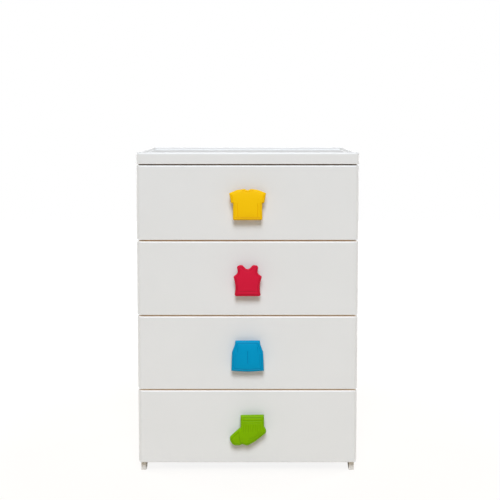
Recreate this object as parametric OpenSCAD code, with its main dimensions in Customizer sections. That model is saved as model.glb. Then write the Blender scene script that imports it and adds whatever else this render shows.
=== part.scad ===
// Chest of four drawers for children's clothes, moulded in plastic.
// The carcass is two side panels with legs, four runner frames plugged in between them, a back panel and a
// tray-shaped top panel. Each drawer is a drafted box, a hollow front clipped on and
// a garment as its pull.
// Millimetres, +Z up, front towards -Y. The origin is on the floor, in the middle of the width and depth.

/* [Tower] */
// Width across the top panel and the drawer fronts
overall_w = 555; // [480:5:620]
// Depth from the face of the pulls to the rear edge of the top panel
overall_d = 420; // [390:5:480]
// Height from one drawer front to the next
tier_pitch = 190; // [180:1:240]
// Gap between neighbouring drawer fronts
front_gap = 3; // [2:0.5:5]
// Height of the lowest drawer front above the floor
leg_h = 26; // [22:1:60]

/* [Moulding] */
// Wall of the panels and frames
wall = 2.4; // [2:0.1:3]
// Thickness of the stiffening ribs
rib_t = 2; // [1.4:0.1:2.6]
// Clearance between pieces that plug together or slide
fit = 0.3; // [0.2:0.05:0.5]

/* [Top panel] */
// Height of the top panel
top_h = 29; // [26:1:40]
// Depth of the tray in the top panel
tray_depth = 8; // [5:0.5:11]
// Width of the rim round the tray
rim_w = 11; // [10:0.5:16]
// Rounding of the rim's outer edge
rim_edge_r = 5; // [3:0.5:6]
// How far the top panel reaches behind the side panels
top_overhang = 4; // [3:0.5:8]

/* [Side panels] */
// Thickness of a side panel, ribs included
side_t = 12.5; // [10:0.5:20]
// How far the side panels stand in from the edges of the fronts
side_inset = 5; // [2.8:0.1:8]
// Thickness of the side panels' edge flange
edge_t = 3; // [2.4:0.1:4]
// Length of each leg where it meets the arch between the legs
leg_len = 42; // [38:1:80]
// Rounding of the leg's heel
heel_r = 26; // [16:1:30]
// Depth of the grooves that carry the tier lines round to the sides
line_depth = 0.8; // [0.4:0.1:1]

/* [Runner frames] */
// Height of a runner frame
frame_h = 14; // [12:0.5:18]
// How far a frame reaches below the bottom edge of its drawer front
frame_drop = 4; // [3:0.5:6]
// Depth of a frame's front and rear rails
rail_d = 30; // [24:1:40]
// Height of the bead that the drawer slides on
bead_h = 1; // [0.6:0.1:1.5]
// Height of the walls that guide the drawer
guide_h = 12; // [8:0.5:16]
// Height of the lip that stops the drawer
stop_h = 5; // [3:0.5:7]

/* [Drawers] */
// Thickness of a drawer front, skirt included
front_t = 16; // [14:0.5:20]
// Rounding of a drawer front's upright edges
front_side_r = 10; // [6:0.5:12]
// Rounding of a drawer front's top and bottom edges
front_edge_r = 3.5; // [2:0.5:5]
// Rounding of a drawer front's four corners
front_corner_r = 4; // [2:0.5:8]
// Space between a drawer front and the carcass
front_space = 1; // [0.5:0.1:2]
// Wall of the drawer box
box_wall = 2.2; // [1.8:0.1:3]
// Draft of the drawer box's sides, in degrees
draft = 2; // [1:0.25:3]
// Height of the skids under the drawer box
skid_h = 12; // [9:0.5:16]
// How far a drawer opens
travel = 270; // [200:5:290]

/* [Pulls] */
// Height of the garments
pull_h = 78; // [72:1:84]
// Distance from a drawer front to the face of its pull
pull_reach = 27; // [24:0.5:34]
// Thickness of a pull's plate at its middle
plate_t = 11; // [10:0.5:13]
// Rounding of the plate's front edge
plate_edge_r = 6; // [4:0.5:7]
// Rise of the crowned face from its edge to its middle
plate_crown = 2; // [1:0.25:3]
// How far a pull's centre lies below the middle of its drawer front
pull_drop = 3; // [0:0.5:10]
// Diameter of the pull screws
screw_d = 4; // [3:0.5:5]
// Distance between the two screws of a pull
screw_spacing = 19; // [17:0.5:22]
// Width of the seam lines in a garment's face
seam_w = 1.6; // [1:0.1:2.4]
// Depth of the seam lines
seam_depth = 0.7; // [0.4:0.1:1]

/* [Hidden] */
DRAWERS = [1, 2, 3, 4];
PULLS = ["shirt_pull", "vest_pull", "skirt_pull", "sock_pull"];

arc_steps = 7;   // flats in each rounded corner
edge_steps = 4;  // flats in each rounded-over edge
weld = 0.5;      // how deep a rib or boss runs into the wall that carries it
$fn = 48;

// Across: the carcass is narrower than the fronts
carcass_x = overall_w / 2 - side_inset;
side_inner_x = carcass_x - side_t;
channel_x = carcass_x - wall - fit;  // how far frames and back panel reach into the side panels

// Front to back
pull_face_y = -overall_d / 2;
front_face_y = pull_face_y + pull_reach;
front_back_y = front_face_y + front_t;
carcass_y = front_back_y + front_space;
top_rear_y = overall_d / 2;
side_rear_y = top_rear_y - top_overhang;
back_t = 2.2;
back_rear_y = side_rear_y - edge_t - fit;
back_front_y = back_rear_y - back_t;
frame_rear_y = back_front_y - fit;

// Upwards: tier 1 is the top drawer, and tier 4 the bottom one
tier_count = len(DRAWERS);
function tier_z(k) = leg_h + (tier_count - k) * tier_pitch;
front_h = tier_pitch - front_gap;
top_z = leg_h + tier_count * tier_pitch;
top_face_z = top_z + top_h;
tray_z = top_face_z - tray_depth;
tray_under_z = tray_z - wall;
function frame_z(k) = tier_z(k) - frame_drop;
function runner_z(k) = frame_z(k) + frame_h + bead_h;

// ---------------------------------------------------------------- outlines
// An outline is a list of corners [x, y, r], anticlockwise: a place and the radius that rounds it.
function flat(p) = [p[0], p[1]];
function unit(v) = v / norm(v);
function before(list, i) = list[(i + len(list) - 1) % len(list)];
function after(list, i) = list[(i + 1) % len(list)];
function half_angle(u, v) = acos(max(-1, min(1, u * v))) / 2;

// Points on the arc that rounds corner b between its neighbours a and c
function corner_arc(a, b, c) =
    let (
        u = unit(flat(a) - flat(b)),
        v = unit(flat(c) - flat(b)),
        half = half_angle(u, v),
        centre = flat(b) + unit(u + v) * b[2] / sin(half),
        from = flat(b) + u * b[2] / tan(half) - centre,
        to = flat(b) + v * b[2] / tan(half) - centre,
        start = atan2(from[1], from[0]),
        turn = (atan2(to[1], to[0]) - start + 540) % 360 - 180
    )
    [
        for (i = [0 : arc_steps])
            let (t = start + turn * i / arc_steps) centre + b[2] * [cos(t), sin(t)]
    ];

function rounded(corners) = [
    for (i = [0 : len(corners) - 1]) each corner_arc(before(corners, i), corners[i], after(corners, i))
];

// The outline moved inwards by d: outward corners get tighter and inward corners wider
function inset(corners, d) = [
    for (i = [0 : len(corners) - 1])
        let (
            p = flat(corners[i]),
            u = unit(flat(before(corners, i)) - p),
            v = unit(flat(after(corners, i)) - p),
            way = sign(cross(v, u)),
            moved = p + way * unit(u + v) * d / sin(half_angle(u, v))
        )
        [moved[0], moved[1], max(0.3, corners[i][2] - way * d)]
];

// The right half of an outline, from the bottom up, with its mirror image added
function symmetric(half) = concat(half, [
    for (i = [len(half) - 1 : -1 : 0]) if (half[i][0] > 0) [-half[i][0], half[i][1], half[i][2]]
]);

function rectangle(lo, hi, r) = [[lo[0], lo[1], r], [hi[0], lo[1], r], [hi[0], hi[1], r], [lo[0], hi[1], r]];

// Evenly spaced places between two ends, both ends left out
function spaced(from, to, count) = [for (i = [1 : count]) from + (to - from) * i / (count + 1)];

// ---------------------------------------------------------------- solids
module block(lo, hi) translate(lo) cube(hi - lo);

// An outline in X and Y, from height z0 to z1
module slab(corners, z0, z1) translate([0, 0, z0]) linear_extrude(z1 - z0) polygon(rounded(corners));

// An outline in Y and Z, from x0 to x1
module plate_x(corners, x0, x1)
    translate([x0, 0, 0]) rotate([90, 0, 90]) linear_extrude(x1 - x0) polygon(rounded(corners));

// An outline in X and Z, from y0 to y1
module plate_y(corners, y0, y1)
    translate([0, y1, 0]) rotate([90, 0, 0]) linear_extrude(y1 - y0) polygon(rounded(corners));

// A round bar along Y
module bar_y(x, z, y0, y1, d) translate([x, y1, z]) rotate([90, 0, 0]) cylinder(d = d, h = y1 - y0);

// A convex slab whose upper edge (way = 1) or lower edge (way = -1) is rounded over by r
module soft_slab(corners, z0, z1, r, way = 1) hull() {
    slab(corners, way > 0 ? z0 : z0 + r, way > 0 ? z1 - r : z1);
    for (i = [1 : edge_steps])
        let (a = 90 * i / edge_steps, rise = r * sin(a), ring = inset(corners, r * (1 - cos(a))))
            slab(ring, way > 0 ? z1 - r : z0 + r - rise, way > 0 ? z1 - r + rise : z0 + r);
}

// ---------------------------------------------------------------- top panel
top_corner_r = 8;
tray_corner_r = 7;
tray_fillet_r = 3;
rim_chamfer = 1.5;
rib_drop = 11;  // how far the top panel's ribs hang down
function top_rectangle(r) = rectangle([-overall_w / 2, front_face_y], [overall_w / 2, top_rear_y], r);
top_outline = top_rectangle(top_corner_r);
tray_outline = inset(top_rectangle(rim_w + tray_corner_r), rim_w);

module top_panel() color("#f1f1ef") {
    difference() {
        soft_slab(top_outline, top_z, top_face_z, rim_edge_r);
        soft_slab(tray_outline, tray_z, top_face_z + 1, tray_fillet_r, way = -1);
        hull() {
            slab(tray_outline, top_face_z - rim_chamfer, top_face_z);
            slab(inset(tray_outline, -rim_chamfer), top_face_z - 0.01, top_face_z + 1);
        }
        slab(inset(top_outline, wall), top_z - 1, tray_under_z);
        rim_core();
    }
    top_ribs();
}

// The hollow under the rim, so that it is a wall and not a solid bar
module rim_core() difference() {
    slab(inset(top_outline, wall + 1), tray_under_z - 1, top_face_z - wall);
    slab(inset(tray_outline, -wall), tray_under_z - 2, top_face_z);
}

// Crossed ribs under the tray, and a rib along each side that holds the side panel against the skirt
module top_ribs() {
    z0 = tray_under_z - rib_drop;
    z1 = tray_under_z + weld;
    y0 = front_face_y + wall - weld;
    socket_x = side_inner_x - fit - rib_t;
    for (x = spaced(-socket_x, socket_x, 5))
        block([x - rib_t / 2, y0, z0], [x + rib_t / 2, back_front_y - fit, z1]);
    for (y = spaced(front_face_y, back_front_y, 3))
        block([-socket_x - weld, y - rib_t / 2, z0], [socket_x + weld, y + rib_t / 2, z1]);
    for (x = [-socket_x - rib_t, socket_x]) block([x, y0, z0], [x + rib_t, back_front_y - fit, z1]);
}

// ---------------------------------------------------------------- side panels
arch_z = frame_z(tier_count) - fit - edge_t;  // the arch's flange carries the base frame
leg_taper = 12;     // how much the leg narrows towards its heel
arch_r = 6;
panel_corner_r = 2;
side_outline = [
    [carcass_y, 0, panel_corner_r],
    [carcass_y + leg_len - leg_taper, 0, heel_r],
    [carcass_y + leg_len, arch_z, arch_r],
    [side_rear_y - leg_len, arch_z, arch_r],
    [side_rear_y - leg_len + leg_taper, 0, heel_r],
    [side_rear_y, 0, panel_corner_r],
    [side_rear_y, tray_under_z, panel_corner_r],
    [carcass_y, tray_under_z, panel_corner_r]
];
side_ribs_y = spaced(carcass_y, frame_rear_y, 4);
line_w = front_gap;

// The right side panel: a skin with an edge flange, channels for the frames and ribs between the channels
module side_panel() color("#efece6") difference() {
    union() {
        plate_x(side_outline, carcass_x - wall, carcass_x);
        difference() {
            plate_x(side_outline, side_inner_x, carcass_x - wall + weld);
            plate_x(inset(side_outline, edge_t), side_inner_x - 1, carcass_x);
        }
        for (k = DRAWERS) frame_channel(k);
        for (k = DRAWERS, y = concat(side_ribs_y, [frame_rear_y - rib_t / 2])) side_rib(k, y);
    }
    for (k = [1 : tier_count - 1]) side_line(tier_z(k) - front_gap / 2);
}

// Two ledges that hold the edge of frame k between them
module frame_channel(k) {
    for (z = [frame_z(k) - fit - rib_t, frame_z(k) + frame_h + fit])
        block([side_inner_x, carcass_y + weld, z], [carcass_x - wall + weld, frame_rear_y, z + rib_t]);
}

// The upright rib above frame k, up to the next frame or to the top edge
module side_rib(k, y) {
    z0 = frame_z(k) + frame_h + fit + rib_t - weld;
    z1 = k > 1 ? frame_z(k - 1) - fit - rib_t + weld : tray_under_z - weld;
    block([side_inner_x, y - rib_t / 2, z0], [carcass_x - wall + weld, y + rib_t / 2, z1]);
}

// A shallow V groove across the outer face that carries on the gap between two drawer fronts
module side_line(z) translate([0, carcass_y - 1, z])
    rotate([-90, 0, 0]) linear_extrude(side_rear_y - carcass_y + 2)
        polygon([[carcass_x - line_depth, 0], [carcass_x + 1, -line_w], [carcass_x + 1, line_w]]);

// ---------------------------------------------------------------- back panel
swage_w = 10;  // width of the upright swages that stiffen the back panel
swage_t = 1;   // how far they stand proud
back_z = frame_z(tier_count);
back_top_z = tray_under_z - edge_t - fit;  // under the top flange of the side panels

module back_panel() color("#efece6") {
    plate_y(rectangle([-channel_x, back_z], [channel_x, back_top_z], panel_corner_r),
        back_front_y, back_rear_y);
    for (k = DRAWERS, x = spaced(-side_inner_x, side_inner_x, 5)) back_swage(k, x);
}

// An upright swage that stiffens the panel between two frames
module back_swage(k, x) {
    z0 = frame_z(k) + frame_h + swage_w;
    z1 = tier_z(k) + tier_pitch - swage_w;
    plate_y(rectangle([x - swage_w / 2, z0], [x + swage_w / 2, z1], swage_w / 2 - 0.1),
        back_rear_y - weld, back_rear_y + swage_t);
}

// ---------------------------------------------------------------- runner frames
box_margin = 20;     // from a side panel to the edge of the box's floor
side_play = 1.5;     // from a skid to its guide wall
skid_w = 16;
rail_reach = 22;     // how far a frame's side rails reach inwards past the skids
opening_r = 12;
slide_bead_w = 3;
guide_start = 8;     // how far behind a frame's front edge the guide walls begin
box_x = side_inner_x - box_margin;  // half the width of the drawer box at its floor
guide_x = box_x + side_play;        // inner face of the guide walls
opening_x = box_x - skid_w - rail_reach;
opening_y = [carcass_y + rail_d, frame_rear_y - rail_d];
opening = rectangle([-opening_x, opening_y[0]], [opening_x, opening_y[1]], opening_r);
stop_y = opening_y[0];              // rear face of the stop lip
stop_x = opening_x - opening_r;
stop_brace = 8;      // length of the triangles that back the stop lip

// The plan of a frame: its edges run into the channels of the side panels, behind their front flange
tenon_y = carcass_y + edge_t + fit;
frame_x = side_inner_x - fit;
frame_outline = [
    [-frame_x, carcass_y, 1], [frame_x, carcass_y, 1],
    [frame_x, tenon_y, 0.5], [channel_x, tenon_y, 2], [channel_x, frame_rear_y, 2],
    [-channel_x, frame_rear_y, 2], [-channel_x, tenon_y, 2], [-frame_x, tenon_y, 0.5]
];

module runner_frame(k) color("#e9e2d8") {
    z0 = frame_z(k);
    z1 = z0 + frame_h;
    difference() {
        slab(frame_outline, z0, z1);
        slab(opening, z0 - 1, z1 + 1);
        frame_pockets(z0, z1);
    }
    for (way = [-1, 1]) {
        frame_guide(way, z1);
        frame_beads(way, z1);
    }
    frame_stop(z1);
}

// Pockets in the underside leave a skin, edge walls and cross ribs
module frame_pockets(z0, z1) {
    cells_x = 8;
    cells_y = 5;
    pocket_x = frame_x - wall + rib_t / 2;
    step_x = 2 * pocket_x / cells_x;
    step_y = (opening_y[1] - opening_y[0]) / cells_y;
    for (i = [0 : cells_x - 1], y = [carcass_y, opening_y[1]])
        block([-pocket_x + i * step_x + rib_t / 2, y + wall, z0 - 1],
            [-pocket_x + (i + 1) * step_x - rib_t / 2, y + rail_d - wall, z1 - wall]);
    for (i = [0 : cells_y - 1], x = [-channel_x, opening_x])
        block([x + wall, opening_y[0] + i * step_y + rib_t / 2, z0 - 1],
            [x + channel_x - opening_x - wall, opening_y[0] + (i + 1) * step_y - rib_t / 2, z1 - wall]);
}

// The wall beside a runner, with its front end rounded down so that the box finds its way in
module frame_guide(way, z) {
    x = way > 0 ? guide_x : -guide_x - wall;
    plate_x([
        [tenon_y + guide_start, z - weld, 0.4], [opening_y[1], z - weld, 0.4],
        [opening_y[1], z + guide_h, 3], [tenon_y + guide_start, z + guide_h, guide_h - 1]
    ], x, x + wall);
}

// Two narrow beads that the skid slides on
module frame_beads(way, z) {
    for (x = spaced(box_x - skid_w, box_x, 2))
        block([way * x - slide_bead_w / 2, carcass_y + wall, z - weld],
            [way * x + slide_bead_w / 2, frame_rear_y - wall, z + bead_h]);
}

// The lip on the front rail that catches the lugs under the drawer box
module frame_stop(z) {
    block([-stop_x, stop_y - wall, z - weld], [stop_x, stop_y, z + stop_h]);
    y = stop_y - wall + weld;
    for (x = spaced(-stop_x, stop_x, 5))
        plate_x([[y - stop_brace, z - weld, 0.3], [y, z - weld, 0.3], [y, z + stop_h, 0.3]],
            x - rib_t / 2, x + rib_t / 2);
}

// ---------------------------------------------------------------- drawer fronts
hook_w = 12;
hook_t = 2;
hook_reach = 3;        // how far a hook's barb passes behind the box's front wall
hook_barb = 2;         // how far the barb stands out from its hook
boss_wall = 2.5;
boss_d = screw_d + 2 * boss_wall;
screw_hole_d = screw_d + fit;
box_rim_drop = 6;      // the box's rim below the top edge of its front, which leaves room to lift it out
hook_xs = spaced(-box_x, box_x, 4);
hook_inset = 18;       // from a hook to the box's floor or rim

function box_z(k) = runner_z(k) + fit + skid_h;
function box_rim_z(k) = tier_z(k) + front_h - box_rim_drop;
function pull_z(k) = tier_z(k) + front_h / 2 - pull_drop;
function hook_zs(k) = [box_z(k) + hook_inset, box_rim_z(k) - hook_inset];

// The solid outer form: rounded upright edges in plan, softer top and bottom edges, and rounded corners
module front_form(z0, z1, inwards = 0, y1 = front_back_y) intersection() {
    slab([
        [-overall_w / 2 + inwards, front_face_y + inwards, front_side_r - inwards],
        [overall_w / 2 - inwards, front_face_y + inwards, front_side_r - inwards],
        [overall_w / 2 - inwards, y1, 0.3], [-overall_w / 2 + inwards, y1, 0.3]
    ], z0, z1);
    plate_x([
        [front_face_y + inwards, z0 + inwards, max(0.5, front_edge_r - inwards)],
        [y1, z0 + inwards, 0.3], [y1, z1 - inwards, 0.3],
        [front_face_y + inwards, z1 - inwards, max(0.5, front_edge_r - inwards)]
    ], -overall_w / 2 - 1, overall_w / 2 + 1);
    plate_y(rectangle([-overall_w / 2 + inwards, z0 + inwards], [overall_w / 2 - inwards, z1 - inwards],
        max(0.5, front_corner_r - inwards)), front_face_y - 1, y1 + 1);
}

module drawer_front(k) color("#f1f1ef") {
    z0 = tier_z(k);
    z1 = z0 + front_h;
    difference() {
        union() {
            difference() {
                front_form(z0, z1);
                front_form(z0, z1, inwards = wall, y1 = front_back_y + 1);
            }
            front_ribs(z0, z1);
            for (x = [-1, 1] * screw_spacing / 2)
                bar_y(x, pull_z(k), front_face_y + wall - weld, front_back_y, boss_d);
        }
        for (x = [-1, 1] * screw_spacing / 2)
            bar_y(x, pull_z(k), front_face_y - 1, front_back_y + 1, screw_hole_d);
    }
    for (x = hook_xs, i = [0, 1]) front_hook(x, hook_zs(k)[i], i == 0 ? -1 : 1);
}

// Ribs on the back of the front panel, level with the flat front wall of the box
module front_ribs(z0, z1) {
    y0 = front_face_y + wall - weld;
    for (x = spaced(-overall_w / 2, overall_w / 2, 6))
        block([x - rib_t / 2, y0, z0 + wall - weld], [x + rib_t / 2, front_back_y, z1 - wall + weld]);
    for (z = spaced(z0, z1, 2))
        block([-overall_w / 2 + wall - weld, y0, z - rib_t / 2],
            [overall_w / 2 - wall + weld, front_back_y, z + rib_t / 2]);
}

// A spring hook that goes through a slot in the box's front wall and grips behind it
module front_hook(x, z, way) {
    y_end = front_back_y + box_wall + fit + hook_reach;
    plate_x([
        [front_face_y + wall - weld, z - hook_t / 2, 0.3],
        [y_end, z - hook_t / 2, 0.3],
        [y_end, z + hook_t / 2, 0.3],
        [front_face_y + wall - weld, z + hook_t / 2, 0.3]
    ], x - hook_w / 2, x + hook_w / 2);
    barb_z = z + way * (hook_t / 2 - 0.3);
    root = [y_end - hook_reach, barb_z, 0.2];
    tip = [y_end, barb_z, 0.2];
    shoulder = [y_end - hook_reach, barb_z + way * hook_barb, 0.2];
    plate_x(way > 0 ? [root, tip, shoulder] : [root, shoulder, tip], x - hook_w / 2, x + hook_w / 2);
}

// ---------------------------------------------------------------- drawer boxes
box_corner_r = 16;
box_front_r = 3;
rim_flange_w = 7;
rim_lip_h = 7;
rim_play = 1;           // from the rim to the carcass behind it
lug_w = 24;
lug_t = 4;
lug_bite = 3.5;         // how far a lug reaches down past the top of the stop lip
floor_rib_h = 5;
skid_end = 12;          // from the box's rear face to the end of a skid
box_rear_y = frame_rear_y - rim_flange_w - rim_play;  // rear face of the box at its rim
lug_y = stop_y + travel + fit;  // front face of the lugs, which meets the lip when the drawer is fully open

// Plan of the box at its rim (spread = draft over the height) and at its floor (spread = 0)
function box_plan(spread, back, inwards = 0) = [
    [-box_x - spread + inwards, front_back_y + inwards, box_front_r],
    [box_x + spread - inwards, front_back_y + inwards, box_front_r],
    [box_x + spread - inwards, back - inwards, box_corner_r - inwards],
    [-box_x - spread + inwards, back - inwards, box_corner_r - inwards]
];

module drawer_box(k) color("#f3eee4") {
    z0 = box_z(k);
    z1 = box_rim_z(k);
    lean = (z1 - z0) * tan(draft);
    difference() {
        union() {
            box_form(z0, z1, lean, 0);
            slab(box_rim_plan(lean, rim_flange_w), z1 - wall, z1);
            rim_lip(z1, lean);
        }
        box_form(z0 + wall, z1 + 1, lean, box_wall);
        for (x = [-1, 1] * screw_spacing / 2)
            bar_y(x, pull_z(k), front_back_y - 1, front_back_y + box_wall + 1, screw_hole_d);
        for (x = hook_xs, z = hook_zs(k))
            hook_slot(x, z, z == hook_zs(k)[0] ? -1 : 1);
    }
    for (way = [-1, 1]) {
        box_skid(way, k);
        box_lug(way * (stop_x - lug_w), k);
    }
    box_floor_ribs(z0);
}

// A slot for a hook: the barb grips on one side of it, and the hook springs aside on the other
module hook_slot(x, z, way) {
    reach = hook_t / 2 + fit;
    block([x - hook_w / 2 - fit, front_back_y - 1, z - reach - (way > 0 ? hook_barb : 0)],
        [x + hook_w / 2 + fit, front_back_y + box_wall + 1, z + reach + (way < 0 ? hook_barb : 0)]);
}

// The drafted form: its front wall is upright, and its sides and rear lean outwards
module box_form(z0, z1, lean, inwards) hull() {
    slab(box_plan(0, box_rear_y - lean, inwards), z0, z0 + 0.01);
    slab(box_plan(lean, box_rear_y, inwards), z1 - 0.01, z1);
}

// The rim runs round the sides and the rear, and ends at the front wall
function box_rim_plan(lean, w) = [
    [-box_x - lean - w, front_back_y + front_space + 2, 2],
    [box_x + lean + w, front_back_y + front_space + 2, 2],
    [box_x + lean + w, box_rear_y + w, box_corner_r + w],
    [-box_x - lean - w, box_rear_y + w, box_corner_r + w]
];

// The down-turned edge that stiffens the rim
module rim_lip(z, lean) difference() {
    slab(box_rim_plan(lean, rim_flange_w), z - rim_lip_h, z - wall + weld);
    slab(inset(box_rim_plan(lean, rim_flange_w), box_wall), z - rim_lip_h - 1, z + 1);
}

// A skid along each side of the floor, with its ends sloped
module box_skid(way, k) {
    z0 = runner_z(k) + fit;
    y0 = front_back_y + front_space + box_front_r;
    y1 = box_rear_y - skid_end;
    x0 = box_x - skid_w;
    slope = skid_h / 2;
    z1 = box_z(k) + weld;
    plate_x([[y0 + slope, z0, 3], [y1 - slope, z0, 3], [y1, z1, 0.5], [y0, z1, 0.5]],
        way > 0 ? x0 : -box_x, way > 0 ? box_x : -x0);
}

// A lug under the floor that meets the frame's stop lip when the drawer is fully open
module box_lug(x, k) {
    z0 = frame_z(k) + frame_h + stop_h - lug_bite;
    plate_x([
        [lug_y, z0, 0.8], [lug_y + lug_t, z0, 0.8],
        [lug_y + lug_t + skid_h, box_z(k) + weld, 0.5], [lug_y, box_z(k) + weld, 0.3]
    ], x - lug_w / 2, x + lug_w / 2);
}

// Shallow crossed ribs under the floor
module box_floor_ribs(z0) {
    rib_x = box_x - skid_w + weld;
    for (y = spaced(front_back_y, box_rear_y, 5))
        block([-rib_x, y - rib_t / 2, z0 - floor_rib_h], [rib_x, y + rib_t / 2, z0 + weld]);
    for (x = spaced(-rib_x, rib_x, 4))
        block([x - rib_t / 2, front_back_y + skid_end, z0 - floor_rib_h],
            [x + rib_t / 2, box_rear_y - 2 * skid_end, z0 + weld]);
}

// ---------------------------------------------------------------- pulls
// A garment is a list of four things, drawn for a height of drawn_h: its outline about the pull's centre, the
// point that its face's rings shrink towards, the seams that follow its edge, and its straight seams.
// An edge seam is its distance from the edge and two corners of the window in which it shows.
// A straight seam is its two ends.
drawn_h = 78;
shirt = [
    symmetric([
        [36.4, -38.3, 3], [36, 3.2, 1.5], [41.3, 5.2, 1.5], [45.8, 28.4, 2], [26.5, 36.4, 36], [8, 39, 2],
        [0, 33.8, 3.5]
    ]),
    [0, 8],
    [
        [7.5, [-28, -40], [28, -20]], [5, [32, 9], [60, 25]], [5, [-60, 9], [-32, 25]],
        [4, [-13, 20], [13, 40]]
    ],
    [[[29.5, 6], [27.5, 28]], [[-29.5, 6], [-27.5, 28]]]
];
vest = [
    symmetric([
        [32.2, -38.8, 4.5], [28.9, -14, 60], [35.2, 10.8, 2], [23, 18.6, 8], [26.3, 36.6, 3.5],
        [13.3, 39.8, 4], [0, 23.5, 9]
    ]),
    [0, 0],
    [[4, [-60, -24], [60, 60]], [7.5, [-22, -40], [22, -28]]],
    []
];
skirt = [
    symmetric([[0, -40.4, 200], [40.3, -36.6, 2], [38.4, 10, 12], [31.6, 29.5, 6], [30.3, 38.9, 1.5]]),
    [0, 0],
    [[5.7, [-23, 25], [23, 60]], [7.5, [-31, -60], [31, -25]]],
    [[[0, 14], [0, -24]], [[21, 14], [24, -24]], [[-21, 14], [-24, -24]]]
];
sock = [
    [
        [-37.5, -38.9, 14], [-20, -38.8, 5], [-13.5, -34.8, 3], [-1, -41.4, 9], [20, -29, 60],
        [49.2, -4.4, 9], [41, 10.4, 2], [40.9, 39.4, 1.5], [-17.2, 38.4, 1.5], [-17.6, 7.6, 3],
        [-47.4, -19.6, 10]
    ],
    [0, -10],
    [],
    [
        [[-12, 32.3], [35, 32.7]], [[-12, 25.2], [35, 25.5]], [[-12, 19.2], [35, 19.4]],
        [[21, 6], [41, -6]], [[-31, -8], [-15, -32]]
    ]
];
garments = [shirt, vest, skirt, sock];
pull_colours = ["#fbc31b", "#d42a42", "#0a98c4", "#82b30a"];

neck_margin = 7.5;  // from a screw's axis to the side of the neck
neck_w = screw_spacing + 2 * neck_margin;
neck_h = 20;
neck_wall = 2.2;
face_wall = 4;     // from the recess in a pull's back to the edge of its crown
recess_depth = plate_t - plate_crown - face_wall;
crown_reach = 24;  // how far from the edge the crown still rises
screw_grip = 13;   // length of thread in the pull
face_rings = [1, 0.99, 0.965, 0.93, 0.88, 0.81, 0.7, 0.45];  // sizes of the face's rings

function segment_distance(p, a, b) =
    let (along = max(0, min(1, (p - a) * (b - a) / ((b - a) * (b - a))))) norm(p - a - along * (b - a));
function edge_distance(p, line) =
    min([for (i = [0 : len(line) - 1]) segment_distance(p, line[i], after(line, i))]);

// Height of the face above the plate's rear plane: a quarter-round edge, then a low crown
function face_height(d) =
    let (in_edge = min(1, d / plate_edge_r), in_crown = min(1, d / crown_reach))
    plate_t - plate_crown - plate_edge_r * (1 - sqrt(1 - pow(1 - in_edge, 2)))
        + plate_crown * (1 - pow(1 - in_crown, 2));

// The plate: rings of points drawn in towards `middle`, closed by a fan at the front and at the rear
module garment_plate(outline, middle) {
    line = rounded(outline);
    n = len(line);
    rings = [for (s = face_rings) [for (p = line) middle + s * (p - middle)]];
    points = concat(
        [for (p = line) [p[0], 0, p[1]]],
        [for (ring = rings, p = ring) [p[0], -face_height(edge_distance(p, line)), p[1]]],
        [[middle[0], -face_height(edge_distance(middle, line)), middle[1]], [middle[0], 0, middle[1]]]
    );
    last = len(rings);
    walls = [
        for (r = [0 : last - 1], i = [0 : n - 1])
            let (a = r * n + i, b = r * n + (i + 1) % n)
            each [[a, b, b + n], [a, b + n, a + n]]
    ];
    front_cap = [for (i = [0 : n - 1]) [last * n + i, last * n + (i + 1) % n, (last + 1) * n]];
    rear_cap = [for (i = [0 : n - 1]) [(i + 1) % n, i, (last + 1) * n + 1]];
    polyhedron(points, [for (f = concat(walls, front_cap, rear_cap)) [f[2], f[1], f[0]]], convexity = 6);
}

// A seam that follows the outline at a distance, cut into the face where the window shows it
module edge_seam(outline, distance, window) {
    floor_y = seam_depth - face_height(distance);
    intersection() {
        difference() {
            plate_y(inset(outline, distance - seam_w / 2), floor_y - plate_t, floor_y);
            plate_y(inset(outline, distance + seam_w / 2), floor_y - plate_t - 1, floor_y + 1);
        }
        block([window[0][0], floor_y - plate_t, window[0][1]], [window[1][0], floor_y + 1, window[1][1]]);
    }
}

// A straight seam between two points of the face, which runs out where the face falls away to its edge
module straight_seam(outline, ends) {
    line = rounded(outline);
    floor_y = seam_depth - face_height(edge_distance((ends[0] + ends[1]) / 2, line));
    way = ends[1] - ends[0];
    translate([ends[0][0], 0, ends[0][1]]) rotate([0, -atan2(way[1], way[0]), 0])
        block([0, floor_y - plate_t, -seam_w / 2], [norm(way), floor_y, seam_w / 2]);
}

module pull(k) color(pull_colours[k - 1]) translate([0, 0, pull_z(k)]) {
    garment = garments[k - 1];
    outline = garment[0] * pull_h / drawn_h;
    middle = garment[1] * pull_h / drawn_h;
    plate_y0 = pull_face_y + plate_t;   // rear plane of the plate
    neck = rectangle([-neck_w / 2, -neck_h / 2], [neck_w / 2, neck_h / 2], neck_h / 2 - 1);
    difference() {
        translate([0, plate_y0, 0]) garment_plate(outline, middle);
        plate_y(inset(outline, wall), plate_y0 - recess_depth, plate_y0 + 1);
        translate([0, plate_y0, 0]) {
            for (seam = garment[2])
                edge_seam(outline, seam[0] * pull_h / drawn_h, [seam[1], seam[2]] * pull_h / drawn_h);
            for (ends = garment[3]) straight_seam(outline, ends * pull_h / drawn_h);
        }
    }
    difference() {
        union() {
            difference() {
                plate_y(neck, plate_y0 - recess_depth - weld, front_face_y);
                plate_y(inset(neck, neck_wall), plate_y0 - recess_depth + 1, front_face_y + 1);
            }
            for (x = [-1, 1] * screw_spacing / 2) bar_y(x, 0, plate_y0 - recess_depth, front_face_y, boss_d);
        }
        for (x = [-1, 1] * screw_spacing / 2)
            bar_y(x, 0, front_face_y - screw_grip - 1, front_face_y + 1, screw_d + 0.1);
    }
}

// ---------------------------------------------------------------- pull screws
head_d = screw_d * 2;
head_h = 2.6;
slot_w = 1.1;
slot_depth = 1.4;
slot_reach = 0.3;  // length of each arm of the cross, as a share of the head

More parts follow.
